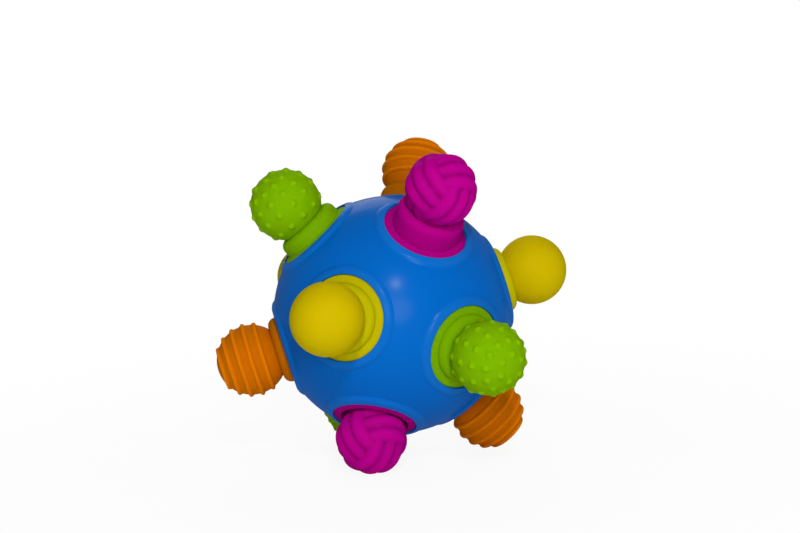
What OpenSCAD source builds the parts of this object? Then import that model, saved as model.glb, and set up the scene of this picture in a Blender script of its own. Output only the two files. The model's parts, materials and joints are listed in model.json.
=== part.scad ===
// Sensory ball: a hollow ball with twelve soft knobs that are linked in opposite pairs.
// Pulling a knob out draws the knob on the other side of the ball in.

/* [Ball shell] */
// Outside diameter of the ball
ball_d = 100; // [96:1:116]
// Thickness of the shell wall
shell_wall = 2.6; // [2.2:0.1:3.2]
// Width of the raised lip round each hole
lip_w = 3.6; // [3:0.2:5]
// Height of the lip above the ball
lip_rise = 0.8; // [0.4:0.1:1.2]
// Width of the ledge in each hole that carries a ring
ledge_w = 0.7; // [0.5:0.1:1]
// Height of the tongue that joins the two halves
tongue_h = 1.2; // [0.8:0.1:1.6]
// Thickness of the tongue
tongue_t = 1; // [0.8:0.1:1.2]

/* [Knobs] */
// Diameter of a ball head without its texture
head_d = 29.2; // [27:0.2:30]
// Height of a head's centre above the rim of its hole
head_stand = 15; // [13.5:0.5:17]
// Diameter of the collar and barrel under the head
barrel_d = 27.8; // [27:0.2:29.2]
// Height of the collar's top above the rim of its hole
collar_stand = 4.4; // [3.6:0.2:5]
// Radius of the collar's rounded shoulder
shoulder_r = 3.3; // [2:0.1:3.5]
// Thickness of a knob's soft wall
knob_wall = 3; // [2.4:0.1:3.4]

/* [Textures] */
// Width of a nub on a green head
nub_w = 2.2; // [1.6:0.1:3]
// Height of a nub
nub_rise = 0.8; // [0.5:0.1:1.1]
// Number of nubs in a full row round a green head
nub_columns = 12; // [8:2:14]
// Width of a rib on an orange head
rib_w = 2.4; // [1.6:0.1:3]
// Height of a rib
rib_rise = 1; // [0.5:0.1:1.2]
// Number of ribs on an orange head
rib_count = 5; // [3:1:5]
// Width of a strand on a magenta head
strand_w = 6.5; // [5.5:0.1:7]
// Height of a strand above its furrows
strand_rise = 1.4; // [1:0.1:2]
// How far the strands stand out past a plain head
strand_out = 0.2; // [0:0.1:0.4]

/* [Rings] */
// Width of the ring that shows round each knob
ring_w = 2.9; // [1.8:0.1:3]
// Thickness of the ring where it lies on the ledge
ring_t = 1.3; // [1:0.1:1.5]
// How far the ring's inner edge stands above its outer edge
ring_rise = 1.2; // [0:0.1:1.5]
// Bevel on the ring's inner edge
ring_bevel = 0.5; // [0.2:0.1:0.8]
// How far the ring's inner bead reaches past the hole
bead_w = 1.1; // [0.6:0.1:1.4]
// Thickness of the bead at its edge
bead_t = 0.8; // [0.6:0.1:1.2]

/* [Pull mechanism] */
// Travel of a pair of knobs to each side of its middle place
travel = 6.5; // [4:0.5:6.5]
// How far a plug's stop flange reaches past the ring's bore
stop_w = 1.2; // [0.8:0.1:1.4]
// Thickness of the stop flange
stop_t = 2; // [1.6:0.1:2.4]
// Length of the plug's spigot in the barrel
spigot_l = 9; // [7:0.5:10]
// Diameter of a tie rod
rod_d = 3; // [2:0.1:3.4]
// Distance of a tie rod from the axis of its knobs
rod_offset = 8; // [7:0.1:8.5]
// Depth of the socket that holds a rod in its plug
rod_seat = 8; // [5:0.5:9]

/* [Stand] */
// Turn of the standing ball about the upright axis
stand_turn = 7.6; // [-60:0.1:60]

/* [Fits] */
// Gap round what slides
run_gap = 0.3; // [0.2:0.05:0.4]
// Gap round what is pressed or snapped together
fit_gap = 0.1; // [0.05:0.01:0.15]

/* [Hidden] */
$fn = 48;

// Pairs of opposite knobs, upper one first: colour and place of each,
// and which part of the travel the upper one is drawn out by at rest.
PAIRS = [
    [["yellow", "right"], ["orange", "left"], 0],
    [["yellow", "back"], ["green", "right"], 0],
    [["yellow", "front"], ["magenta", "back"], 0],
    [["magenta", "top"], ["green", "foot"], 1],
    [["orange", "top"], ["magenta", "foot"], 1],
    [["green", "top"], ["orange", "foot"], 0.4]
];
pair_ids = [0:len(PAIRS) - 1];
knob_ids = [0:2 * len(PAIRS) - 1];
front_knob = 4;
feet = [7, 9, 11];

function pair_of(i) = PAIRS[floor(i / 2)];
function is_upper(i) = i % 2 == 0;
function colour_of(i) = pair_of(i)[i % 2][0];
function name_of(kind, i) = str(kind, "_", colour_of(i), "_", pair_of(i)[i % 2][1]);
function rod_name(p) = str("tie_rod_", p + 1);

// Colours of the moulded pieces
SHELL_BLUE = [0.01, 0.38, 0.76];
ROD_WHITE = [0.9, 0.9, 0.88];
COLOURS = [
    ["yellow", [0.82, 0.72, 0]],
    ["green", [0.45, 0.65, 0]],
    ["orange", [0.83, 0.42, 0]],
    ["magenta", [0.65, 0, 0.52]]
];
function rgb_of(i) = COLOURS[search([colour_of(i)], COLOURS)[0]][1];

// Radii, measured from the ball's centre or from a knob's own axis
ball_r = ball_d / 2;
inner_r = ball_r - shell_wall;
head_r = head_d / 2;
barrel_r = barrel_d / 2;
bore_r = barrel_r + run_gap;
ring_r = bore_r + ring_w;
hole_r = ring_r + fit_gap;
ledge_r = hole_r - ledge_w;
web_r = ledge_r - fit_gap;
bead_r = hole_r + bead_w;
lip_r = hole_r + lip_w;
stop_r = bore_r + stop_w;
socket_r = barrel_r - knob_wall;
spigot_r = socket_r - fit_gap;

// Heights along a knob's axis, measured from the ball's centre
function under_wall(r) = sqrt(pow(inner_r - fit_gap, 2) - r * r);
rim_z = sqrt(ball_r * ball_r - hole_r * hole_r);
ledge_z = rim_z - ring_t;
ring_end = under_wall(bead_r) - bead_t;
head_z = rim_z + head_stand;
collar_z = rim_z + collar_stand;
stop_z = ring_end - travel - run_gap;
plug_end = stop_z - stop_t;
notch_r = sqrt(head_r * head_r - pow(head_z - collar_z, 2));
big = 2 * (head_z + head_d);

// Radius of the round section of a rib or nub with a given width and height
function crown_r(w, rise) = (rise * rise + w * w / 4) / (2 * rise);

// Rows of nubs: angle from the head's top and share of a full row
NUB_ROWS = [[22.5, 0.5], [45, 1], [67.5, 1], [90, 1], [117, 1]];
// Ribs: angle of the first from the head's top, and of each step
RIB_FIRST = 34;
RIB_STEP = 19;

// The twelve axes are those of an icosahedron, which stands with a face level.
golden = (1 + sqrt(5)) / 2;
function unit(v) = v / norm(v);
function cycled(v, k) = k == 0 ? v : cycled([v[2], v[0], v[1]], k - 1);
function golden_axis(p) = cycled(unit([0, p < 3 ? -1 : 1, golden]), p % 3);
function golden_side(p) = cycled([p < 3 ? -1 : 1, 0, 0], p % 3);
level_z = unit([1, 1, 1]);
level_x = unit(golden_axis(0) - level_z * (golden_axis(0) * level_z));
level_y = cross(level_z, level_x);
function turn_z(v, a) = [v[0] * cos(a) - v[1] * sin(a), v[0] * sin(a) + v[1] * cos(a), v[2]];
function turn_x(v, a) = [v[0], v[1] * cos(a) - v[2] * sin(a), v[1] * sin(a) + v[2] * cos(a)];
function turned(v) = turn_z([v * level_x, v * level_y, v * level_z], stand_turn);

// The ball leans until the textured heads of its three feet all touch the floor.
function side_of(i) = is_upper(i) ? 1 : -1;
function draw_of(i) = side_of(i) * pair_of(i)[2] * travel;
function level_axis(i) = side_of(i) * turned(golden_axis(floor(i / 2)));
function texture_of(i) = let (c = colour_of(i))
    c == "orange" ? rib_rise : c == "green" ? nub_rise : c == "magenta" ? strand_out : 0;
foot_points = [for (i = feet) level_axis(i) * (head_z + draw_of(i)) - [0, 0, head_r + texture_of(i)]];
foot_cross = cross(foot_points[1] - foot_points[0], foot_points[2] - foot_points[0]);
foot_up = unit(foot_cross * sign(foot_cross[2]));
lean_axis = cross(foot_up, [0, 0, 1]);
lean = asin(norm(lean_axis));
function leaned(v) = let (k = unit(lean_axis))
    v * cos(lean) + cross(k, v) * sin(lean) + k * (k * v) * (1 - cos(lean));
centre_h = -foot_up * foot_points[0];

function axis_of(i) = leaned(level_axis(i));
function side_axis(i) = leaned(turned(golden_side(floor(i / 2))));
function frame_of(i) = let (x = side_axis(i), z = axis_of(i), y = cross(z, x))
    [[x[0], y[0], z[0], 0], [x[1], y[1], z[1], 0], [x[2], y[2], z[2], centre_h], [0, 0, 0, 1]];

// Puts a shape that is drawn along +Z from the ball's centre onto knob axis i.
module on_axis(i) {
    multmatrix(frame_of(i)) children();
}

module at_centre() {
    translate([0, 0, centre_h]) children();
}

// Half of the plane, right of the axis that an outline is turned round
module right_half() {
    intersection() {
        children();
        translate([0, -big]) square([big, 2 * big]);
    }
}

// Ball with a raised lip round each hole
module lipped_ball() {
    at_centre() sphere(ball_r);
    for (i = knob_ids)
        on_axis(i) intersection() {
            sphere(ball_r + lip_rise);
            cylinder(h = big, r = lip_r);
        }
}

// Stepped hole that takes a ring
module ring_holes() {
    for (i = knob_ids)
        on_axis(i) {
            translate([0, 0, plug_end]) cylinder(h = big, r = ledge_r);
            translate([0, 0, ledge_z]) cylinder(h = big, r = hole_r);
        }
}

// Band in the middle of the wall that laps over the seam
module seam_band(gap) {
    mid_r = ball_r - shell_wall / 2;
    translate([0, 0, -tongue_h - gap]) difference() {
        cylinder(h = 2 * (tongue_h + gap), r = mid_r + tongue_t / 2 + gap);
        translate([0, 0, -big / 2]) cylinder(h = big, r = mid_r - tongue_t / 2 - gap);
    }
}

module half_space(up) {
    translate([-big, -big, up ? 0 : -2 * big]) cube(2 * big);
}

module shell_front() {
    color(SHELL_BLUE) difference() {
        union() {
            intersection() {
                lipped_ball();
                on_axis(front_knob) half_space(true);
            }
            on_axis(front_knob) seam_band(0);
        }
        at_centre() sphere(inner_r);
        ring_holes();
    }
}

module shell_back() {
    color(SHELL_BLUE) difference() {
        intersection() {
            lipped_ball();
            on_axis(front_knob) half_space(false);
        }
        on_axis(front_knob) seam_band(fit_gap);
        at_centre() sphere(inner_r);
        ring_holes();
    }
}

// Ring that snaps into a hole, with the bore that a knob's barrel slides in
// and room for a head that is drawn in all the way
module ring(i) {
    color(rgb_of(i)) on_axis(i) rotate_extrude() difference() {
        polygon([
            [bore_r, ring_end],
            [bead_r, ring_end],
            [bead_r, under_wall(bead_r)],
            [web_r, under_wall(web_r)],
            [web_r, ledge_z],
            [ring_r, ledge_z],
            [ring_r, rim_z],
            [bore_r + ring_bevel, rim_z + ring_rise],
            [bore_r, rim_z + ring_rise - ring_bevel]
        ]);
        right_half() translate([0, head_z - travel]) circle(head_r + texture_of(i) + run_gap);
    }
}

// The cone of the ball's inside that a knob keeps to when it is drawn in all the way,
// half way to the axes of its neighbours
module room_outline() {
    angle = atan(1 / golden);
    tip = travel + run_gap / 2 / sin(angle);
    polygon([[0, tip], [big * tan(angle), tip + big], [0, tip + big]]);
}

// Outline of the barrel and collar, up to the notch under the head
module collar_outline() {
    translate([0, stop_z]) square([barrel_r, collar_z - shoulder_r - stop_z]);
    translate([0, stop_z]) square([barrel_r - shoulder_r, collar_z - stop_z]);
    translate([barrel_r - shoulder_r, collar_z - shoulder_r]) circle(shoulder_r);
}

module head_outline() {
    translate([0, head_z]) circle(head_r);
}

module rib_outlines() {
    r = crown_r(rib_w, rib_rise);
    for (k = [0:rib_count - 1])
        translate([0, head_z]) rotate(90 - RIB_FIRST - k * RIB_STEP)
            translate([head_r + rib_rise - r, 0]) circle(r);
}

// Hollow of a knob: the socket for the plug, the neck and the inside of the head
module hollow_outline() {
    translate([0, stop_z - fit_gap]) square([socket_r, spigot_l + 2 * fit_gap]);
    translate([0, stop_z]) square([notch_r - knob_wall, head_z - stop_z]);
    translate([0, head_z]) circle(head_r - knob_wall);
}

module turned_knob(ribbed = false, bare = false) {
    rotate_extrude() right_half() difference() {
        intersection() {
            union() {
                collar_outline();
                if (!bare) head_outline();
                if (ribbed) rib_outlines();
            }
            room_outline();
        }
        hollow_outline();
    }
}

module nubs() {
    r = crown_r(nub_w, nub_rise);
    for (row = NUB_ROWS) {
        count = round(nub_columns * row[1]);
        for (k = [0:count - 1])
            translate([0, 0, head_z]) rotate([0, row[0], k * 360 / count])
                translate([0, 0, head_r + nub_rise - r]) sphere(r);
    }
}

// Head wound of three crossing sets of three strands. A strand of each set lies on top
// at two opposite faces of a cube and dives under the next set between them.
STRAND_DIVE = 1.2;
STRAND_COLUMNS = 54;
STRAND_ROWS = 27;
// Turn of that cube: round the knob's axis, tipped from it, and round its own axis
WEAVE_TURN = [167, 114, 168];
strand_r = head_r + strand_out;
function strand_crown(across) = let (s = min(1, abs(across) / (strand_w / 2)))
    strand_rise * sqrt(1 - s * s);
// across: direction over the strands; over: direction of the face where they lie on top
function set_height(d, across, over) = let (
        lane = min(1, max(-1, round(d[across] * strand_r / strand_w))),
        gap = d[across] * strand_r - lane * strand_w,
        up = d[over] * d[over] / max(1e-6, 1 - d[across] * d[across])
    ) abs(gap) > strand_w / 2 ? -STRAND_DIVE : strand_crown(gap) - STRAND_DIVE * (1 - up);
function wound_r(d) = strand_r - strand_rise
    + max(set_height(d, 1, 2), set_height(d, 2, 0), set_height(d, 0, 1), -STRAND_DIVE / 2);
function cube_dir(v) = turn_z(turn_x(turn_z(v, WEAVE_TURN[0]), WEAVE_TURN[1]), WEAVE_TURN[2]);
function wound_point(polar, turn) =
    let (v = [sin(polar) * cos(turn), sin(polar) * sin(turn), cos(polar)]) v * wound_r(cube_dir(v));

module wound_head() {
    rows = STRAND_ROWS - 1;
    cols = STRAND_COLUMNS;
    points = concat(
        [wound_point(0, 0)],
        [for (r = [1:rows], c = [0:cols - 1]) wound_point(180 * r / STRAND_ROWS, 360 * c / cols)],
        [wound_point(180, 0)]
    );
    last = len(points) - 1;
    faces = concat(
        [for (c = [0:cols - 1]) [0, 1 + (c + 1) % cols, 1 + c]],
        [for (r = [0:rows - 2], c = [0:cols - 1]) let (a = 1 + r * cols, b = a + cols, n = (c + 1) % cols)
            each [[a + c, a + n, b + c], [a + n, b + n, b + c]]],
        [for (c = [0:cols - 1]) let (a = 1 + (rows - 1) * cols) [last, a + c, a + (c + 1) % cols]]
    );
    translate([0, 0, head_z]) polyhedron(points, faces);
}

// Soft knob: a textured head, a collar and the barrel that slides in the ring
module knob(i) {
    colour = colour_of(i);
    color(rgb_of(i)) on_axis(i) translate([0, 0, draw_of(i)]) {
        if (colour == "yellow") turned_knob();
        if (colour == "orange") turned_knob(ribbed = true);
        if (colour == "green") union() {
            turned_knob();
            nubs();
        }
        if (colour == "magenta") difference() {
            union() {
                turned_knob(bare = true);
                wound_head();
            }
            rotate_extrude() right_half() hollow_outline();
        }
    }
}

// Hard plug in the end of a barrel, whose flange stops the knob from coming out
module plug(i) {
    color(ROD_WHITE) on_axis(i) translate([0, 0, draw_of(i)]) difference() {
        rotate_extrude() intersection() {
            union() {
                translate([0, plug_end]) square([stop_r, stop_t]);
                translate([0, stop_z]) square([spigot_r, spigot_l]);
            }
            room_outline();
        }
        translate([rod_offset, 0, plug_end - fit_gap])
            cylinder(h = rod_seat + 2 * fit_gap, d = rod_d + 2 * fit_gap);
    }
}

// Rod that ties the plugs of two opposite knobs together, beside the ball's centre
module tie_rod(p) {
    i = 2 * p;
    reach = plug_end + rod_seat;
    color(ROD_WHITE) on_axis(i) translate([rod_offset, 0, draw_of(i) - reach])
        cylinder(h = 2 * reach, d = rod_d);
}

shell_front();
shell_back();
for (i = knob_ids) {
    knob(i);
    ring(i);
    plug(i);
}
for (p = pair_ids)
    tie_rod(p);
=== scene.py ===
"""Looks of a sensory ball: a hollow ball with soft textured knobs that slide in opposite pairs.

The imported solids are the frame. The shell halves, the rings and the soft knobs are rebuilt here with softer
edges and finer textures, and the plugs and tie rods inside keep their solids. All sizes are in metres.
"""
import json
import logging
import math
from dataclasses import dataclass, field
from enum import Enum
from typing import Any, Callable, Dict, List, Optional, Sequence, Tuple, Union

import bmesh
import bpy
from mathutils import Matrix, Vector


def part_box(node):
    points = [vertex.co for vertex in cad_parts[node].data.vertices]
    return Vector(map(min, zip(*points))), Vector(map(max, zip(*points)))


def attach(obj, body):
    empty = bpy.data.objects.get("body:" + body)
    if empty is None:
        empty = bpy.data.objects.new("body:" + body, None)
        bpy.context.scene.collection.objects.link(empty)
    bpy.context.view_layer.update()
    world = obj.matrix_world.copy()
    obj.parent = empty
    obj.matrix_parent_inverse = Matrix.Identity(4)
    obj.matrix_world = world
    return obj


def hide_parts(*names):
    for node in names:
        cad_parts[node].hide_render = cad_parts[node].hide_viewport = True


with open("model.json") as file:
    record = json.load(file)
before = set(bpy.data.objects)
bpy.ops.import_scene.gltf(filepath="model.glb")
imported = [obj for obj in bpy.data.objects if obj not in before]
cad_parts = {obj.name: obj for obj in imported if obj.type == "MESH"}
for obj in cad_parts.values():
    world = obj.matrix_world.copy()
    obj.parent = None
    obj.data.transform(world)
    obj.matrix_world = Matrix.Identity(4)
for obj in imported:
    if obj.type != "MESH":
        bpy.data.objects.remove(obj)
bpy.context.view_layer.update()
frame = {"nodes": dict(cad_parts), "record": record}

LOG = logging.getLogger("sensory_ball")
MM = 0.001
Colour = Tuple[float, float, float]


def linear(colour: Colour) -> Tuple[float, float, float, float]:
    """Turns a colour as a picture stores it into the light values that shaders use.

    Args:
        colour: Red, green and blue from 0 to 1, as in a picture.

    Returns:
        The four values of a shader's colour socket.
    """
    low = [c / 12.92 if c <= 0.04045 else ((c + 0.055) / 1.055) ** 2.4 for c in colour]
    return (low[0], low[1], low[2], 1.0)


def shaded(colour: Colour, factor: float) -> Colour:
    """Returns a darker or lighter tone of a colour."""
    return tuple(min(1.0, c * factor) for c in colour)


class Wire:
    """A shader value that takes part in Python expressions."""

    def __init__(self, tree: "FinishTree", socket: bpy.types.NodeSocket) -> None:
        """Keeps the socket and the tree that it belongs to."""
        self.tree = tree
        self.socket = socket

    def __add__(self, other: "Value") -> "Wire":
        """Returns the sum."""
        return self.tree.math("ADD", self, other)

    def __radd__(self, other: "Value") -> "Wire":
        """Returns the sum, with this value on the right."""
        return self.tree.math("ADD", other, self)

    def __sub__(self, other: "Value") -> "Wire":
        """Returns the difference."""
        return self.tree.math("SUBTRACT", self, other)

    def __rsub__(self, other: "Value") -> "Wire":
        """Returns the difference, with this value on the right."""
        return self.tree.math("SUBTRACT", other, self)

    def __mul__(self, other: "Value") -> "Wire":
        """Returns the product."""
        return self.tree.math("MULTIPLY", self, other)

    def __rmul__(self, other: "Value") -> "Wire":
        """Returns the product, with this value on the right."""
        return self.tree.math("MULTIPLY", other, self)

    def clamped(self) -> "Wire":
        """Returns this value kept between 0 and 1."""
        return self.tree.wire("ShaderNodeClamp", {}, {0: self})


Value = Union[float, Wire]


class FinishTree:
    """Builds the nodes of one material or of the world."""

    def __init__(self, owner: Union[bpy.types.Material, bpy.types.World]) -> None:
        """Empties the owner's node tree and keeps it.

        Args:
            owner: The material or the world.
        """
        owner.use_nodes = True
        self.tree = owner.node_tree
        self.tree.nodes.clear()

    def node(self, kind: str, settings: Dict[str, Any],
             sockets: Dict[Union[str, int], Any]) -> bpy.types.Node:
        """Adds a node of any type.

        Args:
            kind: The node's type.
            settings: Properties that are set before the sockets.
            sockets: Values or links by socket name or number.

        Returns:
            The new node.
        """
        made = self.tree.nodes.new(kind)
        for name, value in settings.items():
            setattr(made, name, value)
        for key, value in sockets.items():
            if isinstance(value, Wire):
                self.tree.links.new(value.socket, made.inputs[key])
            else:
                made.inputs[key].default_value = value
        return made

    def wire(self, kind: str, settings: Dict[str, Any], sockets: Dict[Union[str, int], Any],
             output: Union[str, int] = 0) -> Wire:
        """Adds a node of any type and returns one of its outputs.

        Args:
            kind: The node's type.
            settings: Properties that are set before the sockets.
            sockets: Values or links by socket name or number.
            output: Name or number of the output.

        Returns:
            The output as a value for expressions.
        """
        return Wire(self, self.node(kind, settings, sockets).outputs[output])

    def math(self, operation: str, left: Value, right: Value) -> Wire:
        """Returns the result of a Math node on two values."""
        return self.wire("ShaderNodeMath", {"operation": operation}, {0: left, 1: right})

    def mixed(self, factor: Value, low: Any, high: Any) -> Wire:
        """Returns a colour between two colours."""
        return self.wire("ShaderNodeMix", {"data_type": "RGBA"}, {0: factor, 6: low, 7: high}, 2)

    def noise(self, place: Wire, scale: float, detail: float = 3.0) -> Wire:
        """Returns fractal noise at a place, about 0.5 on average."""
        return self.wire("ShaderNodeTexNoise", {}, {"Vector": place, "Scale": scale, "Detail": detail})

    def place(self) -> Wire:
        """Returns the object coordinates."""
        return self.wire("ShaderNodeTexCoord", {}, {}, "Object")

    def mark(self, name: str) -> Wire:
        """Returns a number that the mesh carries at each point."""
        return self.wire("ShaderNodeAttribute", {"attribute_name": name}, {}, "Fac")

    def bump(self, height: Wire, strength: float, distance: float) -> Wire:
        """Returns a normal that is disturbed by a height."""
        return self.wire("ShaderNodeBump", {}, {"Strength": strength, "Distance": distance, "Height": height})

    def seen(self) -> Wire:
        """Finds the rays that show the background: straight, in gloss or through glass.

        Returns:
            1 on such rays and 0 on all others.
        """
        path = self.node("ShaderNodeLightPath", {}, {})
        kinds = ("Camera", "Glossy", "Transmission")
        straight, gloss, through = (Wire(self, path.outputs["Is %s Ray" % kind]) for kind in kinds)
        return (straight + gloss + through).clamped()

    def surface(self, shader: Wire) -> None:
        """Sends a shader to the material's output."""
        self.node("ShaderNodeOutputMaterial", {}, {"Surface": shader})


RELIEF = "relief"
# Mask of the painted shade on the collars and rings, under the heads.
SEAT = "seat_shade"


@dataclass(frozen=True)
class RubberFinish:
    """Soft matte rubber with painted shade: its furrows are painted darker than its crests, and its collar
    and ring take a darker painted-shade colour.
    """

    name: str
    colour: Colour
    # Colour of the painted shade on the collar and ring under the head.
    seat_shade: Colour
    # How dark the painted shade in the furrows is, as a share of the colour; 1 paints none.
    furrow_shade: float = 0.72
    roughness: float = 0.58
    cloud_scale: float = 55.0
    cloud_share: float = 0.35
    cloud_shade: float = 0.95
    cloud_rough: float = 0.12
    grain_scale: float = 2600.0
    grain_rough: float = 0.1
    grain_bump: float = 0.25
    grain_deep: float = 0.06 * MM
    sheen: float = 0.03
    sheen_spread: float = 0.02
    soak: float = 0.35
    soak_deep: float = 4 * MM

    def make(self) -> bpy.types.Material:
        """Makes the material.

        Returns:
            The material.
        """
        made = bpy.data.materials.new(self.name)
        tree = FinishTree(made)
        place = tree.place()
        cloud = tree.noise(place, self.cloud_scale)
        grain = tree.noise(place, self.grain_scale, 2.0)
        relief = tree.mark(RELIEF).clamped()
        # Painted shade: the furrows, low in the relief, take a darker copy of the colour.
        head = tree.mixed(relief, linear(shaded(self.colour, self.furrow_shade)), linear(self.colour))
        # Painted shade: the collar and ring under the head take the painted-shade colour.
        tone = tree.mixed(tree.mark(SEAT).clamped(), head, linear(self.seat_shade))
        # Tone that differs at random, drawn towards a darker copy of the painted-shade colour.
        cloudy = tree.mixed((cloud * self.cloud_share).clamped(), tone,
                            linear(shaded(self.seat_shade, self.cloud_shade)))
        rough = self.roughness + (cloud - 0.5) * self.cloud_rough + (grain - 0.5) * self.grain_rough
        shader = tree.wire("ShaderNodeBsdfPrincipled", {}, {
            "Base Color": cloudy,
            "Roughness": rough.clamped(),
            "Specular IOR Level": 0.0,
            "Coat Weight": (self.sheen + (cloud - 0.5) * self.sheen_spread).clamped(),
            "Coat Roughness": self.roughness,
            "Subsurface Weight": self.soak,
            "Subsurface Radius": (1.0, 1.0, 1.0),
            "Subsurface Scale": self.soak_deep,
            "Normal": tree.bump(grain, self.grain_bump, self.grain_deep),
        })
        tree.surface(shader)
        return made


@dataclass(frozen=True)
class ShellFinish:
    """Moulded plastic with a soft gloss, and a painted highlight that lightens its raised lips in cloudy
    patches.
    """

    name: str
    colour: Colour
    # Lighter blue of the painted highlight on the raised lips.
    lip_highlight_colour: Colour = (0.2, 0.55, 0.88)
    lip_highlight_share: float = 0.22
    roughness: float = 0.23
    crest_rough: float = 0.05
    gloss: float = 0.08
    gloss_spread: float = 0.03
    cloud_scale: float = 38.0
    cloud_share: float = 0.6
    cloud_shade: float = 0.92
    cloud_rough: float = 0.1
    peel_scale: float = 420.0
    peel_share: float = 0.8
    grain_scale: float = 3200.0
    grain_rough: float = 0.06
    bump: float = 0.12
    bump_deep: float = 0.1 * MM

    def make(self) -> bpy.types.Material:
        """Makes the material.

        Returns:
            The material.
        """
        made = bpy.data.materials.new(self.name)
        tree = FinishTree(made)
        place = tree.place()
        cloud = tree.noise(place, self.cloud_scale)
        peel = tree.noise(place, self.peel_scale, 2.0)
        grain = tree.noise(place, self.grain_scale, 2.0)
        crest = tree.mark(RELIEF).clamped()
        tone = tree.mixed((cloud * self.cloud_share).clamped(), linear(self.colour),
                          linear(shaded(self.colour, self.cloud_shade)))
        # Painted highlight: the lip crests are lightened in cloudy patches.
        lip_highlight = tree.mixed(crest * cloud * self.lip_highlight_share, tone, linear(self.lip_highlight_colour))
        rough = self.roughness + (cloud - 0.5) * self.cloud_rough
        rough = rough + (grain - 0.5) * self.grain_rough + crest * self.crest_rough
        height = peel * self.peel_share + grain * (1.0 - self.peel_share)
        shader = tree.wire("ShaderNodeBsdfPrincipled", {}, {
            "Base Color": lip_highlight,
            "Roughness": rough.clamped(),
            "Specular IOR Level": 0.0,
            "Coat Weight": (self.gloss + (cloud - 0.5) * self.gloss_spread).clamped(),
            "Coat Roughness": self.roughness,
            "Normal": tree.bump(height, self.bump, self.bump_deep),
        })
        tree.surface(shader)
        return made


@dataclass(frozen=True)
class InnerFinish:
    """Plain white moulded plastic of the pieces inside the ball."""

    name: str
    colour: Colour = (0.9, 0.9, 0.88)
    roughness: float = 0.45
    cloud_scale: float = 60.0
    cloud_shade: float = 0.94
    grain_scale: float = 2400.0
    grain_rough: float = 0.12
    grain_bump: float = 0.15
    grain_deep: float = 0.05 * MM

    def make(self) -> bpy.types.Material:
        """Makes the material.

        Returns:
            The material.
        """
        made = bpy.data.materials.new(self.name)
        tree = FinishTree(made)
        place = tree.place()
        cloud = tree.noise(place, self.cloud_scale)
        grain = tree.noise(place, self.grain_scale, 2.0)
        tone = tree.mixed(cloud, linear(self.colour), linear(shaded(self.colour, self.cloud_shade)))
        shader = tree.wire("ShaderNodeBsdfPrincipled", {}, {
            "Base Color": tone,
            "Roughness": (self.roughness + (grain - 0.5) * self.grain_rough).clamped(),
            "Normal": tree.bump(grain, self.grain_bump, self.grain_deep),
        })
        tree.surface(shader)
        return made


@dataclass(frozen=True)
class FloorFinish:
    """Pale matt paper that the ball stands on, which runs out into the white of the background."""

    name: str
    colour: Colour = (0.97, 0.97, 0.97)
    near: float = 0.08
    far: float = 0.3
    least: float = 0.93

    def make(self) -> bpy.types.Material:
        """Makes the material.

        Returns:
            The material.
        """
        made = bpy.data.materials.new(self.name)
        tree = FinishTree(made)
        away = tree.wire("ShaderNodeVectorMath", {"operation": "LENGTH"}, {0: tree.place()}, "Value")
        fade = ((away - self.near) * ((1.0 - self.least) / (self.far - self.near)) + self.least).clamped()
        paper = tree.wire("ShaderNodeBsdfDiffuse", {}, {"Color": linear(self.colour)})
        white = tree.wire("ShaderNodeEmission", {}, {"Color": (1.0, 1.0, 1.0, 1.0), "Strength": 1.0})
        tree.surface(tree.wire("ShaderNodeMixShader", {}, {0: fade * tree.seen(), 1: paper, 2: white}))
        return made


class Outline:
    """A wire drawn in an upright plane, x out from an axis and z along it, that is turned into a solid."""

    def __init__(self) -> None:
        """Starts with nothing drawn."""
        self.bm = bmesh.new()
        self.first: Optional[bmesh.types.BMVert] = None
        self.last: Optional[bmesh.types.BMVert] = None
        self.rounds: Dict[float, List[bmesh.types.BMVert]] = {}

    def to(self, out: float, along: float, rounding: float = 0.0) -> "Outline":
        """Draws a straight line to a point.

        Args:
            out: Distance from the axis.
            along: Height along the axis.
            rounding: How far back from this corner its rounding starts.

        Returns:
            The outline itself.
        """
        vert = self.bm.verts.new((out, 0.0, along))
        if self.last is None:
            self.first = vert
        else:
            self.bm.edges.new((self.last, vert))
        self.last = vert
        if rounding > 0.0:
            self.rounds.setdefault(rounding, []).append(vert)
        return self

    def swing(self, centre: float, angle: float, steps: int) -> List[bmesh.types.BMVert]:
        """Draws an arc about a point of the axis.

        Args:
            centre: Height of the arc's centre.
            angle: Angle in degrees, positive away from the top.
            steps: Number of straight pieces.

        Returns:
            The new points.
        """
        known = set(self.bm.verts)
        made = bmesh.ops.spin(self.bm, geom=[self.last], cent=(0.0, 0.0, centre), axis=(0.0, 1.0, 0.0),
                              dvec=(0.0, 0.0, 0.0), angle=math.radians(angle), steps=steps, use_merge=False)
        self.last = next(g for g in made["geom_last"] if isinstance(g, bmesh.types.BMVert))
        return [v for v in self.bm.verts if v not in known]

    def closed(self) -> "Outline":
        """Joins the last point to the first."""
        self.bm.edges.new((self.last, self.first))
        return self

    def turned(self, steps: int, segments: int = 5) -> bmesh.types.BMesh:
        """Rounds the corners and turns the wire once round the axis.

        Args:
            steps: Number of flats in a full turn.
            segments: Number of pieces in each rounded corner.

        Returns:
            The closed surface.
        """
        for offset, verts in self.rounds.items():
            bmesh.ops.bevel(self.bm, geom=verts, offset=offset, offset_type="OFFSET", segments=segments,
                            profile=0.5, affect="VERTICES", material=-1, clamp_overlap=True)
        bmesh.ops.spin(self.bm, geom=self.bm.verts[:] + self.bm.edges[:], cent=(0.0, 0.0, 0.0),
                       axis=(0.0, 0.0, 1.0), dvec=(0.0, 0.0, 0.0), angle=math.tau,
                       steps=steps, use_merge=True)
        bmesh.ops.remove_doubles(self.bm, verts=self.bm.verts[:], dist=1e-7)
        bmesh.ops.recalc_face_normals(self.bm, faces=self.bm.faces[:])
        return self.bm


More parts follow.
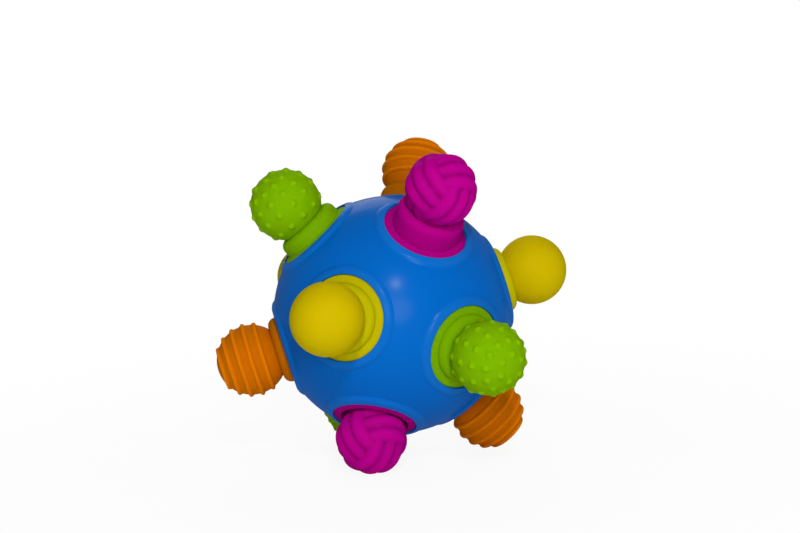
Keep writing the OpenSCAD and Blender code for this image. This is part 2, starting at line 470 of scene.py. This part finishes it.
def poured(target: bmesh.types.BMesh, source: bmesh.types.BMesh, matrix: Matrix) -> None:
    """Copies one mesh into another at a place.

    Args:
        target: The mesh that grows.
        source: The mesh that is copied.
        matrix: Where the copy goes.
    """
    mould = bpy.data.meshes.new("mould")
    source.to_mesh(mould)
    mould.transform(matrix)
    target.from_mesh(mould)
    bpy.data.meshes.remove(mould)


@dataclass(frozen=True)
class Place:
    """Where a knob sits: its axis out of the ball, a side direction and how far it is drawn out."""

    name: str
    body: str
    centre: Vector
    axis: Vector
    side: Vector
    draw: float

    def matrix(self, drawn: bool) -> Matrix:
        """Returns the place of a shape that is drawn along z from the ball's centre.

        Args:
            drawn: Whether the shape moves with the knob.

        Returns:
            The shape's transform.
        """
        across = self.axis.cross(self.side)
        turn = Matrix((self.side, across, self.axis)).transposed().to_4x4()
        start = self.centre + self.axis * (self.draw if drawn else 0.0)
        return Matrix.Translation(start) @ turn

    @property
    def colour(self) -> str:
        """Returns the first word of the name, which is the knob's colour."""
        return self.name.split("_")[0]


@dataclass(frozen=True)
class BallSizes:
    """Sizes that the shell, rings and knobs share."""

    ball_r: float = 50 * MM
    wall: float = 2.6 * MM
    lip_w: float = 3.6 * MM
    lip_rise: float = 0.8 * MM
    ledge_w: float = 0.7 * MM
    head_r: float = 14.6 * MM
    head_stand: float = 15 * MM
    barrel_r: float = 13.9 * MM
    collar_stand: float = 4.4 * MM
    shoulder_r: float = 3.3 * MM
    knob_wall: float = 3 * MM
    ring_w: float = 2.9 * MM
    ring_t: float = 1.3 * MM
    ring_rise: float = 1.2 * MM
    bead_w: float = 1.1 * MM
    bead_t: float = 0.8 * MM
    travel: float = 6.5 * MM
    spigot_l: float = 9 * MM
    run_gap: float = 0.3 * MM
    fit_gap: float = 0.1 * MM

    def on_ball(self, radius: float, out: float) -> float:
        """Returns the height along an axis at which a sphere of a radius lies this far out from it."""
        return math.sqrt(radius * radius - out * out)

    @property
    def inner_r(self) -> float:
        """Inside radius of the shell."""
        return self.ball_r - self.wall

    @property
    def bore_r(self) -> float:
        """Radius of a ring's bore."""
        return self.barrel_r + self.run_gap

    @property
    def ring_r(self) -> float:
        """Outside radius of a ring."""
        return self.bore_r + self.ring_w

    @property
    def hole_r(self) -> float:
        """Radius of a hole in the shell."""
        return self.ring_r + self.fit_gap

    @property
    def ledge_r(self) -> float:
        """Radius inside the ledge that carries a ring."""
        return self.hole_r - self.ledge_w

    @property
    def lip_r(self) -> float:
        """Outside radius of the lip round a hole."""
        return self.hole_r + self.lip_w

    @property
    def rim_z(self) -> float:
        """Height of a hole's rim above the ball's centre."""
        return self.on_ball(self.ball_r, self.hole_r)

    @property
    def ledge_z(self) -> float:
        """Height of the ledge."""
        return self.rim_z - self.ring_t

    @property
    def bead_r(self) -> float:
        """Radius of the bead that snaps a ring into its hole."""
        return self.hole_r + self.bead_w

    @property
    def ring_end(self) -> float:
        """Height of a ring's lower end."""
        return self.on_ball(self.inner_r - self.fit_gap, self.bead_r) - self.bead_t

    @property
    def head_z(self) -> float:
        """Height of a head's centre."""
        return self.rim_z + self.head_stand

    @property
    def collar_z(self) -> float:
        """Height of a collar's top."""
        return self.rim_z + self.collar_stand

    @property
    def stop_z(self) -> float:
        """Height of a barrel's lower end."""
        return self.ring_end - self.travel - self.run_gap

    @property
    def notch_r(self) -> float:
        """Radius of the notch between head and collar."""
        return self.on_ball(self.head_r, self.head_z - self.collar_z)

    @property
    def socket_r(self) -> float:
        """Radius of the socket that takes a plug."""
        return self.barrel_r - self.knob_wall


def finished(name: str, bm: bmesh.types.BMesh, material: bpy.types.Material) -> bpy.types.Object:
    """Turns a mesh under construction into a smooth object at the origin.

    Args:
        name: Name of the piece.
        bm: The mesh, which is used up.
        material: The piece's finish.

    Returns:
        The new object.
    """
    mesh = bpy.data.meshes.new(name)
    bm.to_mesh(mesh)
    bm.free()
    mesh.shade_smooth()
    mesh.materials.append(material)
    made = bpy.data.objects.new(name, mesh)
    bpy.context.scene.collection.objects.link(made)
    LOG.info("%s: %d faces", name, len(mesh.polygons))
    return made


def handed_over(piece: bpy.types.Object, node: str, body: str) -> None:
    """Puts a piece in the place of a solid, on its body.

    Args:
        piece: The finished piece.
        node: The solid that it stands for.
        body: The body that it moves with.
    """
    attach(piece, body)
    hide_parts(node)


@dataclass
class Shell:
    """The hollow ball in two halves, with a raised lip round each hole."""

    sizes: BallSizes
    places: Sequence[Place]
    front: Place
    finish: ShellFinish
    turn_steps: int = 144
    seam_gap: float = 0.05 * MM
    lip_slope: float = 1.7 * MM
    lip_foot: float = 0.15 * MM
    slope_steps: int = 8
    top_steps: int = 8
    lip_round: float = 0.45 * MM
    lip_sink: float = 0.03 * MM
    ledge_round: float = 0.1 * MM
    cut_under: float = 0.9 * MM
    outer_fineness: int = 7
    inner_fineness: int = 6

    def ball_wall(self, radius: float, fineness: int, hole: float) -> bmesh.types.BMesh:
        """Makes one side of the ball's wall with its round holes.

        Args:
            radius: Radius of the wall.
            fineness: How often the wall's faces are split.
            hole: Radius of the holes.

        Returns:
            The wall round the ball's centre.
        """
        bm = bmesh.new()
        bmesh.ops.create_icosphere(bm, subdivisions=fineness, radius=radius)
        depth = self.sizes.on_ball(radius, hole)
        for place in self.places:
            bmesh.ops.bisect_plane(bm, geom=bm.verts[:] + bm.edges[:] + bm.faces[:], dist=1e-7,
                                   plane_co=place.axis * depth, plane_no=place.axis, clear_outer=True)
        return bm

    def lip(self) -> bmesh.types.BMesh:
        """Makes the lip, the stepped wall and the ledge of one hole.

        Returns:
            The lip along z from the ball's centre.
        """
        s = self.sizes
        top_r = s.ball_r + s.lip_rise
        inside, outside = s.hole_r + 2 * self.lip_round, s.lip_r - self.lip_slope
        start, end = (math.degrees(math.asin(r / top_r)) for r in (inside, outside))
        line = Outline()
        line.to(s.ledge_r, s.on_ball(s.inner_r, s.ledge_r))
        line.to(s.ledge_r, s.ledge_z, self.ledge_round)
        line.to(s.hole_r, s.ledge_z)
        line.to(s.hole_r, s.on_ball(top_r, s.hole_r), self.lip_round)
        line.to(inside, s.on_ball(top_r, inside))
        line.swing(0.0, end - start, self.top_steps)
        for k in range(1, self.slope_steps + 1):
            share = k / self.slope_steps
            rise = s.lip_rise * (1 - share * share) - self.lip_sink * share
            out = outside + share * (self.lip_slope + self.lip_foot)
            line.to(out, s.on_ball(s.ball_r + rise, out))
        return line.turned(self.turn_steps)

    def marked(self, bm: bmesh.types.BMesh) -> None:
        """Writes on each point how far it stands up towards the top of a lip.

        Args:
            bm: The half shell in its place.
        """
        layer = bm.verts.layers.float.get(RELIEF) or bm.verts.layers.float.new(RELIEF)
        for vert in bm.verts:
            rise = (vert.co - self.front.centre).length - self.sizes.ball_r
            vert[layer] = max(0.0, min(1.0, rise / self.sizes.lip_rise))

    def half(self, name: str, sign: float, material: bpy.types.Material) -> bpy.types.Object:
        """Makes one half of the shell.

        Args:
            name: Name of the piece.
            sign: 1 for the front half and -1 for the back half.
            material: The shell's finish.

        Returns:
            The finished half.
        """
        s = self.sizes
        bm = bmesh.new()
        outer = self.ball_wall(s.ball_r, self.outer_fineness, s.lip_r - self.cut_under)
        inner = self.ball_wall(s.inner_r, self.inner_fineness, s.ledge_r)
        bmesh.ops.reverse_faces(inner, faces=inner.faces[:])
        to_centre = Matrix.Translation(self.front.centre)
        for wall in (outer, inner):
            poured(bm, wall, to_centre)
            wall.free()
        normal = self.front.axis * sign
        cut = bmesh.ops.bisect_plane(bm, geom=bm.verts[:] + bm.edges[:] + bm.faces[:], dist=1e-7,
                                     plane_co=self.front.centre + normal * self.seam_gap, plane_no=normal,
                                     clear_inner=True)
        seam = [g for g in cut["geom_cut"] if isinstance(g, bmesh.types.BMEdge)]
        bmesh.ops.bridge_loops(bm, edges=seam)
        lip = self.lip()
        for place in self.places:
            if place.axis.dot(normal) > 0.0:
                poured(bm, lip, place.matrix(False))
        lip.free()
        self.marked(bm)
        return finished(name, bm, material)

    def build(self) -> None:
        """Makes both halves and puts them in the place of their solids."""
        material = self.finish.make()
        for node, sign in (("shell_front", 1.0), ("shell_back", -1.0)):
            piece = self.half(node.replace("shell", "ball_half"), sign, material)
            handed_over(piece, node, "ball")


@dataclass
class RimRing:
    """The flat ring in a hole that guides a knob's barrel."""

    sizes: BallSizes
    turn_steps: int = 144
    edge_round: float = 0.25 * MM
    under_round: float = 0.1 * MM
    bead_round: float = 0.2 * MM
    corner_steps: int = 4
    hug: float = 0.06 * MM
    valley: float = 0.7 * MM
    valley_deep: float = 0.6 * MM
    valley_round: float = 0.5 * MM
    curl: float = 0.4 * MM
    curl_round: float = 0.05 * MM
    # Share of the painted shade under the head that the ring takes.
    seat_shade_share: float = 0.8

    def mesh(self) -> bmesh.types.BMesh:
        """Makes the ring along z.

        Returns:
            The closed ring.
        """
        s = self.sizes
        under = s.inner_r - s.fit_gap
        web_r = s.ledge_r - s.fit_gap
        line = Outline()
        bore, top = s.barrel_r + self.hug, s.rim_z + s.ring_rise
        line.to(bore, s.ring_end, self.under_round)
        line.to(s.bead_r, s.ring_end, self.bead_round)
        line.to(s.bead_r, s.on_ball(under, s.bead_r), self.under_round)
        line.to(web_r, s.on_ball(under, web_r))
        line.to(web_r, s.ledge_z)
        line.to(s.ring_r, s.ledge_z, self.under_round)
        line.to(s.ring_r, s.rim_z, self.edge_round)
        line.to(bore + self.valley, top - self.valley_deep, self.valley_round)
        line.to(bore, top - self.valley_deep + self.curl, self.curl_round)
        return line.closed().turned(self.turn_steps, self.corner_steps)

    def piece(self, place: Place, material: bpy.types.Material) -> bpy.types.Object:
        """Makes the ring of one knob.

        Args:
            place: Where the knob sits.
            material: The knob's finish.

        Returns:
            The finished ring.
        """
        bm = bmesh.new()
        turned = self.mesh()
        poured(bm, turned, place.matrix(False))
        turned.free()
        # Every point of the ring takes that share of the painted shade.
        layer = bm.verts.layers.float.new(SEAT)
        for vert in bm.verts:
            vert[layer] = self.seat_shade_share
        return finished("rim_ring_" + place.name, bm, material)


class Texture(Enum):
    """The four surfaces that a head can have, by the colour that each goes with."""

    SMOOTH = "yellow"
    NUBS = "green"
    RIBS = "orange"
    WOUND = "magenta"


@dataclass
class SoftKnob:
    """A soft knob: a textured round head on a collar, and the barrel that slides in the ring."""

    sizes: BallSizes
    turn_steps: int = 144
    arc_steps: int = 150
    hollow_steps: int = 24
    corner_steps: int = 10
    head_fineness: int = 7
    head_smooth: float = 0.5
    notch_angle: float = 1.5
    notch_round: float = 0.25 * MM
    end_round: float = 0.4 * MM
    mouth_round: float = 0.3 * MM
    socket_round: float = 0.5 * MM
    # How far above the collar's top the painted shade reaches.
    seat_over: float = 0.2 * MM
    crest_power: float = 1.5
    nub_w: float = 2.2 * MM
    nub_rise: float = 0.8 * MM
    nub_foot: float = 0.85
    nub_columns: int = 12
    nub_rows: Tuple[Tuple[float, float], ...] = (
        (22.5, 0.5), (45.0, 1.0), (67.5, 1.0), (90.0, 1.0), (117.0, 1.0))
    rib_w: float = 2.5 * MM
    rib_rise: float = 1.0 * MM
    rib_count: int = 5
    rib_first: float = 34.0
    rib_step: float = 19.0
    strand_w: float = 6.5 * MM
    strand_rise: float = 1.5 * MM
    strand_out: float = 0.2 * MM
    strand_dive: float = 1.2 * MM
    strand_soft: float = 0.16 * MM
    strand_crown: float = 0.85
    weave_turn: Tuple[float, float, float] = (167.0, 114.0, 168.0)

    def __post_init__(self) -> None:
        """Works out the turn of the weave and starts with no moulds."""
        turn, tip, spin = (math.radians(a) for a in self.weave_turn)
        tipped = Matrix.Rotation(tip, 3, "X") @ Matrix.Rotation(turn, 3, "Z")
        self.weave = Matrix.Rotation(spin, 3, "Z") @ tipped
        self.moulds: Dict[Texture, bmesh.types.BMesh] = {}

    def collar(self, line: Outline) -> None:
        """Draws the collar, the barrel and the socket, from the notch down and back up inside the neck.

        Args:
            line: The outline that goes on.
        """
        s = self.sizes
        top = s.stop_z + s.spigot_l + s.fit_gap
        line.to(s.barrel_r, s.collar_z, s.shoulder_r)
        line.to(s.barrel_r, s.stop_z, self.end_round)
        line.to(s.socket_r, s.stop_z, self.mouth_round)
        line.to(s.socket_r, top, self.socket_round)
        line.to(s.notch_r - s.knob_wall, top, self.socket_round)

    def rib_height(self, polar: float) -> float:
        """Finds how far the ribs stand up.

        Args:
            polar: Angle from the head's top in degrees.

        Returns:
            The height above the plain head.
        """
        height = 0.0
        for k in range(self.rib_count):
            off = math.radians(polar - self.rib_first - k * self.rib_step) * self.sizes.head_r
            share = min(1.0, abs(off) / (self.rib_w / 2))
            height = max(height, self.rib_rise * (1 - share * share) ** self.crest_power)
        return height

    def turned_mesh(self, ribbed: bool) -> bmesh.types.BMesh:
        """Makes a knob with a smooth or ribbed head along z.

        Args:
            ribbed: Whether the head has ribs.

        Returns:
            The hollow knob.
        """
        s = self.sizes
        notch = math.degrees(math.acos((s.collar_z - s.head_z) / s.head_r)) - self.notch_angle
        hollow_r = s.head_r - s.knob_wall
        neck = s.notch_r - s.knob_wall
        line = Outline()
        line.to(0.0, s.head_z + s.head_r)
        arc = line.swing(s.head_z, notch, self.arc_steps)
        if ribbed:
            middle = Vector((0.0, 0.0, s.head_z))
            for vert in arc:
                out = vert.co - middle
                polar = math.degrees(math.atan2(out.x, out.z))
                vert.co = middle + out.normalized() * (s.head_r + self.rib_height(polar))
        line.to(s.notch_r, s.collar_z, self.notch_round)
        self.collar(line)
        line.to(neck, s.head_z - s.on_ball(hollow_r, neck))
        line.swing(s.head_z, math.degrees(math.asin(neck / hollow_r)) - 180.0, self.hollow_steps)
        return line.turned(self.turn_steps, self.corner_steps)

    def nub_height(self, way: Vector) -> float:
        """Finds how far the nubs stand up.

        Args:
            way: Direction from the head's middle.

        Returns:
            The height above the plain head.
        """
        polar = math.degrees(math.acos(max(-1.0, min(1.0, way.z))))
        turn = math.degrees(math.atan2(way.y, way.x))
        for row, share in self.nub_rows:
            step = 360.0 / round(self.nub_columns * share)
            aside = ((turn + step / 2) % step - step / 2) * math.sin(math.radians(row))
            off = math.radians(math.hypot(polar - row, aside)) * self.sizes.head_r
            share = off / (self.nub_w * self.nub_foot)
            if share < 1.0:
                return self.nub_rise * (1 - share * share) ** self.crest_power
        return 0.0

    def strand_height(self, way: Vector, across: int, over: int) -> float:
        """Returns the height of one set of three strands.

        Args:
            way: Direction from the head's middle, in the weave's own axes.
            across: Number of the axis across the strands.
            over: Number of the axis at whose faces the strands lie on top.

        Returns:
            The height above the furrows.
        """
        reach = way[across] * (self.sizes.head_r + self.strand_out)
        lane = min(1, max(-1, round(reach / self.strand_w)))
        share = abs(reach - lane * self.strand_w) / (self.strand_w / 2)
        if share > 1.0:
            return -self.strand_dive
        up = way[over] ** 2 / max(1e-6, 1 - way[across] ** 2)
        return self.strand_rise * (1 - share * share) ** self.strand_crown - self.strand_dive * (1 - up)

    def wound_height(self, way: Vector) -> float:
        """Finds the topmost strand, softened where sets cross.

        Args:
            way: Direction from the head's middle.

        Returns:
            The height above the plain head, below zero in the furrows.
        """
        way = self.weave @ way
        sets = [self.strand_height(way, a, o) for a, o in ((1, 2), (2, 0), (0, 1))]
        sets.append(-self.strand_dive / 2)
        top = max(sets)
        soft = self.strand_soft * math.log(sum(math.exp((h - top) / self.strand_soft) for h in sets))
        return self.strand_out - self.strand_rise + top + soft

    def round_mesh(self, height: Callable[[Vector], float]) -> bmesh.types.BMesh:
        """Makes a knob along z whose round head is raised all over by a height.

        Args:
            height: Gives the height above the plain head in a direction from its middle.

        Returns:
            The knob with its closed head.
        """
        s = self.sizes
        line = Outline()
        line.to(0.0, s.collar_z)
        self.collar(line)
        line.to(s.notch_r - s.knob_wall, s.collar_z - s.knob_wall)
        line.to(0.0, s.collar_z - s.knob_wall)
        bm = line.turned(self.turn_steps, self.corner_steps)
        head = bmesh.new()
        bmesh.ops.create_icosphere(head, subdivisions=self.head_fineness, radius=s.head_r)
        for vert in head.verts:
            way = vert.co.normalized()
            vert.co = way * (s.head_r + height(way))
        bmesh.ops.smooth_vert(head, verts=head.verts[:], factor=self.head_smooth,
                              use_axis_x=True, use_axis_y=True, use_axis_z=True)
        poured(bm, head, Matrix.Translation((0.0, 0.0, s.head_z)))
        head.free()
        return bm

    def mesh(self, texture: Texture) -> bmesh.types.BMesh:
        """Makes a knob with one of the four textures along z.

        Args:
            texture: The head's surface.

        Returns:
            The knob.
        """
        if texture is Texture.NUBS:
            return self.round_mesh(self.nub_height)
        if texture is Texture.WOUND:
            return self.round_mesh(self.wound_height)
        return self.turned_mesh(texture is Texture.RIBS)

    def relief(self, texture: Texture) -> Tuple[float, float]:
        """Finds how deep a head's texture reaches.

        Args:
            texture: The head's surface.

        Returns:
            The radius of its furrows and of its crests.
        """
        r = self.sizes.head_r
        if texture is Texture.WOUND:
            return r + self.strand_out - self.strand_rise, r + self.strand_out
        if texture is Texture.RIBS:
            return r, r + self.rib_rise
        if texture is Texture.NUBS:
            return r, r + self.nub_rise
        return r - self.nub_rise, r

    def mould(self, texture: Texture) -> bmesh.types.BMesh:
        """Makes the knob of a texture once, with the relief and the mask of the painted shade under the head
        written on its points.

        Args:
            texture: The head's surface.

        Returns:
            The knob along z, which each place copies.
        """
        if texture not in self.moulds:
            s = self.sizes
            bm = self.mesh(texture)
            low, high = self.relief(texture)
            bm.verts.layers.float.new(RELIEF)
            bm.verts.layers.float.new(SEAT)
            relief, seat_shade = (bm.verts.layers.float[name] for name in (RELIEF, SEAT))
            middle = Vector((0.0, 0.0, s.head_z))
            for vert in bm.verts:
                vert[relief] = max(0.0, min(1.0, ((vert.co - middle).length - low) / (high - low)))
                # Painted shade mask: 1 on the collar and barrel below the head.
                vert[seat_shade] = 1.0 if vert.co.z < s.collar_z + self.seat_over else 0.0
            self.moulds[texture] = bm
        return self.moulds[texture]

    def piece(self, place: Place, material: bpy.types.Material) -> bpy.types.Object:
        """Makes the knob at one place.

        Args:
            place: Where the knob sits.
            material: Its finish.

        Returns:
            The finished knob.
        """
        bm = self.mould(Texture(place.colour)).copy()
        bmesh.ops.transform(bm, matrix=place.matrix(True), verts=bm.verts[:])
        return finished("soft_knob_" + place.name, bm, material)


@dataclass
class KnobSet:
    """All knobs with their rings."""

    sizes: BallSizes
    places: Sequence[Place]
    finishes: Dict[str, RubberFinish]

    def build(self) -> None:
        """Makes each knob and its ring and puts them in the place of their solids."""
        materials = {colour: finish.make() for colour, finish in self.finishes.items()}
        knob, ring = SoftKnob(self.sizes), RimRing(self.sizes)
        for place in self.places:
            material = materials[place.colour]
            handed_over(knob.piece(place, material), "knob_" + place.name, place.body)
            handed_over(ring.piece(place, material), "ring_" + place.name, "ball")


@dataclass
class InnerLink:
    """The plugs and tie rods inside the ball, which keep their solids."""

    finish: InnerFinish

    def build(self, nodes: Dict[str, bpy.types.Object]) -> None:
        """Gives each inner solid its finish.

        Args:
            nodes: The solids by name.
        """
        material = self.finish.make()
        for name, solid in nodes.items():
            if name.startswith(("plug_", "tie_rod_")):
                if not solid.material_slots:
                    solid.data.materials.append(material)
                for slot in solid.material_slots:
                    slot.material = material
                LOG.info("%s: inner finish", name)


@dataclass
class Studio:
    """The pale floor, the soft lamps and the camera."""

    camera_at: Tuple[float, float, float] = (0.01544, -0.64323, 0.17402)
    camera_aim: Tuple[float, float, float] = (0.00384, -0.00011, 0.08043)
    camera_roll: float = -2.19
    lens: float = 69.82
    frame_w: float = 36.0
    even_light: float = 0.12
    floor_reach: float = 4.0
    lamp_aim: Tuple[float, float, float] = (0.0, 0.0, 0.06)
    lamps: List[Tuple[str, Tuple[float, float, float], float, float]] = field(default_factory=lambda: [
        ("key", (0.12, -1.0, 0.32), 0.42, 4.6),
        ("glint", (0.10, -0.94, 0.80), 0.12, 5.2),
        ("back", (-0.1, 1.0, 0.62), 0.7, 6.5),
    ])

    def floor(self) -> None:
        """Lays the pale floor."""
        bm = bmesh.new()
        bmesh.ops.create_grid(bm, x_segments=2, y_segments=2, size=self.floor_reach)
        finished("floor", bm, FloorFinish("pale_floor").make())

    def light(self) -> None:
        """Hangs the lamps and sets the world's even light."""
        for name, at, size, power in self.lamps:
            lamp = bpy.data.lights.new(name, "AREA")
            lamp.shape, lamp.size, lamp.energy = "DISK", size, power
            hung = bpy.data.objects.new(name, lamp)
            hung.location = at
            aim = Vector(self.lamp_aim) - Vector(at)
            hung.rotation_euler = aim.to_track_quat("-Z", "Y").to_euler()
            bpy.context.scene.collection.objects.link(hung)
        world = bpy.data.worlds.new("even_light")
        bpy.context.scene.world = world
        tree = FinishTree(world)
        even = self.even_light
        sky = tree.wire("ShaderNodeBackground", {}, {"Color": (1.0, 1.0, 1.0, 1.0),
                                                     "Strength": even + tree.seen() * (1.0 - even)})
        tree.node("ShaderNodeOutputWorld", {}, {"Surface": sky})

    def camera(self) -> None:
        """Sets up the camera at the photo's angle."""
        lens = bpy.data.cameras.new("camera")
        lens.sensor_fit, lens.sensor_width, lens.lens = "HORIZONTAL", self.frame_w, self.lens
        held = bpy.data.objects.new("camera", lens)
        aim = Vector(self.camera_aim) - Vector(self.camera_at)
        roll = Matrix.Rotation(math.radians(self.camera_roll), 3, "Z")
        turn = aim.to_track_quat("-Z", "Y").to_matrix() @ roll
        held.matrix_world = Matrix.Translation(self.camera_at) @ turn.to_4x4()
        bpy.context.scene.collection.objects.link(held)
        bpy.context.scene.camera = held

    def build(self) -> None:
        """Makes the floor, the lamps and the camera."""
        self.floor()
        self.light()
        self.camera()
        bpy.context.scene.view_settings.view_transform = "Standard"


# Each rubber: its colour, the colour of the painted shade on its collar and ring, and how dark the painted
# shade of its furrows is.
FINISHES: Dict[str, RubberFinish] = {
    "yellow": RubberFinish("soft_yellow", (0.81, 0.705, 0.0), (0.74, 0.71, 0.0), furrow_shade=1.0),
    "green": RubberFinish("soft_green", (0.51, 0.73, 0.0), (0.46, 0.66, 0.0), furrow_shade=0.96),
    "orange": RubberFinish("soft_orange", (0.91, 0.48, 0.0), (0.73, 0.41, 0.0), furrow_shade=0.88),
    "magenta": RubberFinish("soft_magenta", (0.75, 0.0, 0.565), (0.68, 0.0, 0.505), furrow_shade=0.86),
}


def knob_places(sizes: BallSizes) -> List[Place]:
    """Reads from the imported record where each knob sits.

    Args:
        sizes: The shared sizes.

    Returns:
        The knobs' places, upper and lower one of each pair in turn.
    """
    boxes = [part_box(node) for node in ("shell_front", "shell_back")]
    low = Vector([min(b[0][k] for b in boxes) for k in range(3)])
    high = Vector([max(b[1][k] for b in boxes) for k in range(3)])
    centre = (low + high) / 2
    moves = frame["record"]["behaviour"]
    axes = [Vector(joint["axis"]).normalized() for joint in moves["joints"]]
    half = len(axes) // 2
    places = []
    for k, joint in enumerate(moves["joints"]):
        side = axes[k].cross(axes[(k + half) % len(axes)]).normalized()
        draw = sizes.travel - joint["range_m"][1]
        knobs = [n[len("knob_"):] for n in moves["bodies"][joint["child"]] if n.startswith("knob_")]
        for name, sign in zip(knobs, (1, -1)):
            places.append(Place(name, joint["child"], centre, axes[k] * sign, side, draw * sign))
    return places


def main() -> None:
    """Builds the ball piece by piece and sets it in the studio."""
    logging.basicConfig(level=logging.INFO, format="%(message)s")
    sizes = BallSizes()
    places = knob_places(sizes)
    front = next(p for p in places if p.name == "yellow_front")
    Shell(sizes, places, front, ShellFinish("ball_blue", (0.0, 0.4, 0.77))).build()
    KnobSet(sizes, places, FINISHES).build()
    InnerLink(InnerFinish("inner_white")).build(frame["nodes"])
    Studio().build()


if __name__ == "__main__":
    main()
